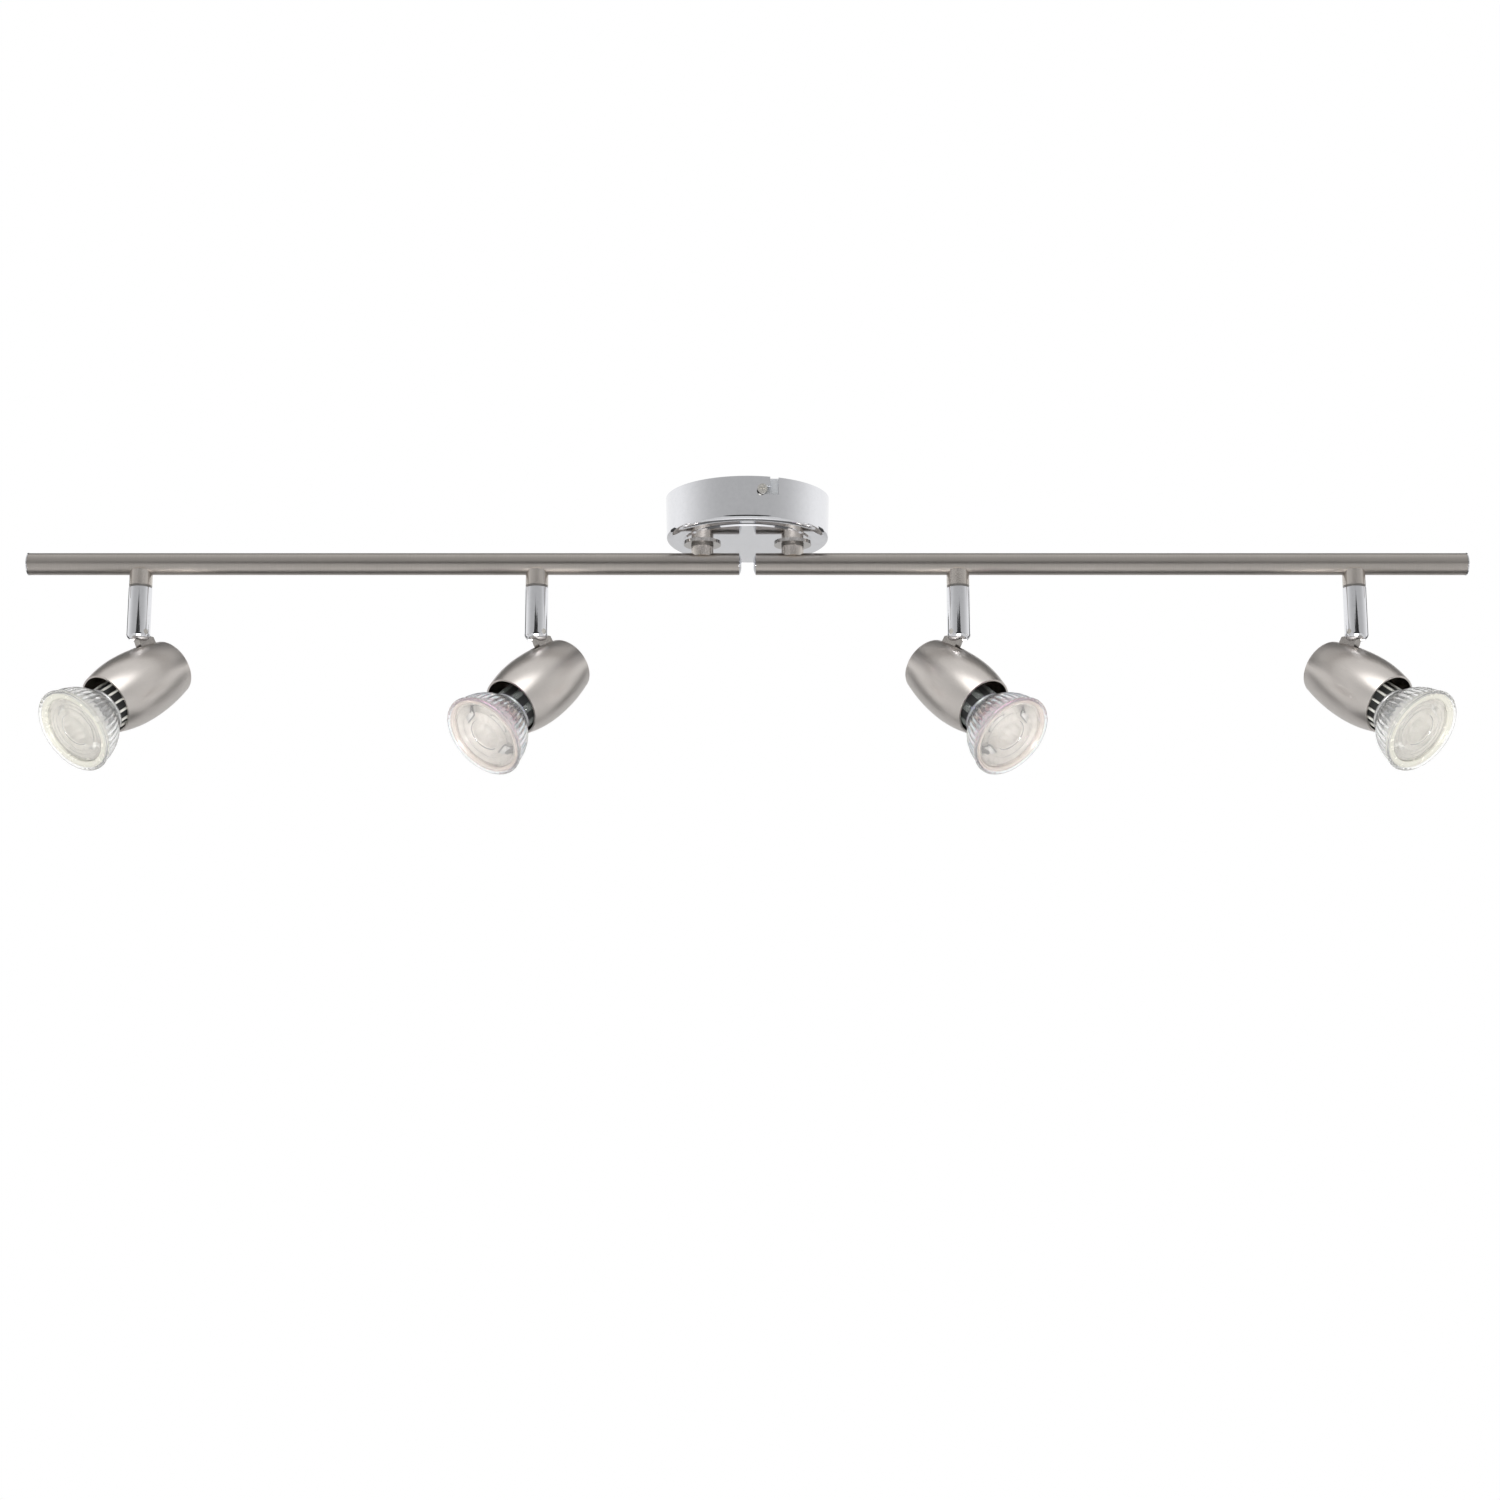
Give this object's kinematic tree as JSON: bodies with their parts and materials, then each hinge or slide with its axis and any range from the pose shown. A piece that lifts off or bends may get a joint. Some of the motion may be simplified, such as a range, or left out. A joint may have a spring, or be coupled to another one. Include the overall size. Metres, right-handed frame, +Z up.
{
  "type": "ceiling spotlight bar",
  "caption": "Ceiling spot bar with a round chrome canopy, swinging satin half-bars and swivelling, tilting bullet spots with clear reflector lamps.",
  "frame": {"origin": "centre of the canopy's ceiling face", "axes": "+Z up into the ceiling, +X along the bars at rest, -Y towards the side that the lamps face"},
  "size_m": [0.816, 0.0992, 0.1617],
  "materials": {
    "polished_chrome": "polished chrome plate",
    "satin_nickel": "satin brushed nickel plate",
    "zinc_plate": "dull zinc plate",
    "screw_steel": "bright plated steel",
    "brass_fitting": "machined brass",
    "fibre_washer": "hard fibre",
    "terminal_plastic": "moulded nylon",
    "lead_insulation": "smooth insulation",
    "holder_ceramic": "unglazed ceramic",
    "lamp_glass": "clear pressed glass with ribs",
    "lamp_lens": "clear moulded lens",
    "lamp_base": "white moulded base and board"
  },
  "bodies": {
    "canopy": {"canopy_cover": "polished_chrome", "mounting_bracket": "zinc_plate", "cover_screws": "screw_steel", "terminal_block": "terminal_plastic", "terminal_screws": "screw_steel", "earth_screw": "brass_fitting", "post_washers": "polished_chrome", "post_rings": "satin_nickel", "friction_washers": "fibre_washer"},
    "bar_left": {"bar_tube_left": "satin_nickel", "end_cap_left": "polished_chrome", "inner_plug_left": "polished_chrome", "bar_post_left": "satin_nickel", "post_nipple_left": "brass_fitting", "lock_nut_left": "zinc_plate", "bar_leads_left": "lead_insulation", "spot_collars_left": "satin_nickel", "swivel_rings_left": "polished_chrome"},
    "stem_outer_left": {"stem_outer_left": "polished_chrome", "pivot_pin_outer_left": "screw_steel"},
    "head_outer_left": {"tilt_lug_outer_left": "satin_nickel", "barrel_outer_left": "satin_nickel", "lampholder_outer_left": "holder_ceramic", "bulb_glass_outer_left": "lamp_glass", "bulb_lens_outer_left": "lamp_lens", "bulb_base_outer_left": "lamp_base"},
    "stem_inner_left": {"stem_inner_left": "polished_chrome", "pivot_pin_inner_left": "screw_steel"},
    "head_inner_left": {"tilt_lug_inner_left": "satin_nickel", "barrel_inner_left": "satin_nickel", "lampholder_inner_left": "holder_ceramic", "bulb_glass_inner_left": "lamp_glass", "bulb_lens_inner_left": "lamp_lens", "bulb_base_inner_left": "lamp_base"},
    "bar_right": {"bar_tube_right": "satin_nickel", "end_cap_right": "polished_chrome", "inner_plug_right": "polished_chrome", "bar_post_right": "satin_nickel", "post_nipple_right": "brass_fitting", "lock_nut_right": "zinc_plate", "bar_leads_right": "lead_insulation", "spot_collars_right": "satin_nickel", "swivel_rings_right": "polished_chrome"},
    "stem_outer_right": {"stem_outer_right": "polished_chrome", "pivot_pin_outer_right": "screw_steel"},
    "head_outer_right": {"tilt_lug_outer_right": "satin_nickel", "barrel_outer_right": "satin_nickel", "lampholder_outer_right": "holder_ceramic", "bulb_glass_outer_right": "lamp_glass", "bulb_lens_outer_right": "lamp_lens", "bulb_base_outer_right": "lamp_base"},
    "stem_inner_right": {"stem_inner_right": "polished_chrome", "pivot_pin_inner_right": "screw_steel"},
    "head_inner_right": {"tilt_lug_inner_right": "satin_nickel", "barrel_inner_right": "satin_nickel", "lampholder_inner_right": "holder_ceramic", "bulb_glass_inner_right": "lamp_glass", "bulb_lens_inner_right": "lamp_lens", "bulb_base_inner_right": "lamp_base"}
  },
  "joints": [
    {"name": "bar_swing_left", "type": "hinge", "parent": "canopy", "child": "bar_left", "pos_m": [-0.0256, 0, -0.0377], "axis": [0, 0, 1], "range_deg": [-90, 90]},
    {"name": "swivel_outer_left", "type": "hinge", "parent": "bar_left", "child": "stem_outer_left", "pos_m": [-0.3435, 0, -0.0511], "axis": [0, 0, 1], "range_deg": [-170, 170]},
    {"name": "tilt_outer_left", "type": "hinge", "parent": "stem_outer_left", "child": "head_outer_left", "pos_m": [-0.3435, 0, -0.0778], "axis": [0.7934, -0.6088, 0], "range_deg": [-33.5, 46.5]},
    {"name": "swivel_inner_left", "type": "hinge", "parent": "bar_left", "child": "stem_inner_left", "pos_m": [-0.1192, 0, -0.0511], "axis": [0, 0, 1], "range_deg": [-170, 170]},
    {"name": "tilt_inner_left", "type": "hinge", "parent": "stem_inner_left", "child": "head_inner_left", "pos_m": [-0.1192, 0, -0.0778], "axis": [0.7314, -0.682, 0], "range_deg": [-36.5, 43.5]},
    {"name": "bar_swing_right", "type": "hinge", "parent": "canopy", "child": "bar_right", "pos_m": [0.0256, 0, -0.0377], "axis": [0, 0, 1], "range_deg": [-90, 90]},
    {"name": "swivel_outer_right", "type": "hinge", "parent": "bar_right", "child": "stem_outer_right", "pos_m": [0.3435, 0, -0.0511], "axis": [0, 0, 1], "range_deg": [-170, 170]},
    {"name": "tilt_outer_right", "type": "hinge", "parent": "stem_outer_right", "child": "head_outer_right", "pos_m": [0.3435, 0, -0.0778], "axis": [0.7934, 0.6088, 0], "range_deg": [-33.5, 46.5]},
    {"name": "swivel_inner_right", "type": "hinge", "parent": "bar_right", "child": "stem_inner_right", "pos_m": [0.1192, 0, -0.0511], "axis": [0, 0, 1], "range_deg": [-170, 170]},
    {"name": "tilt_inner_right", "type": "hinge", "parent": "stem_inner_right", "child": "head_inner_right", "pos_m": [0.1192, 0, -0.0778], "axis": [0.7314, 0.682, 0], "range_deg": [-36.5, 43.5]}
  ]
}
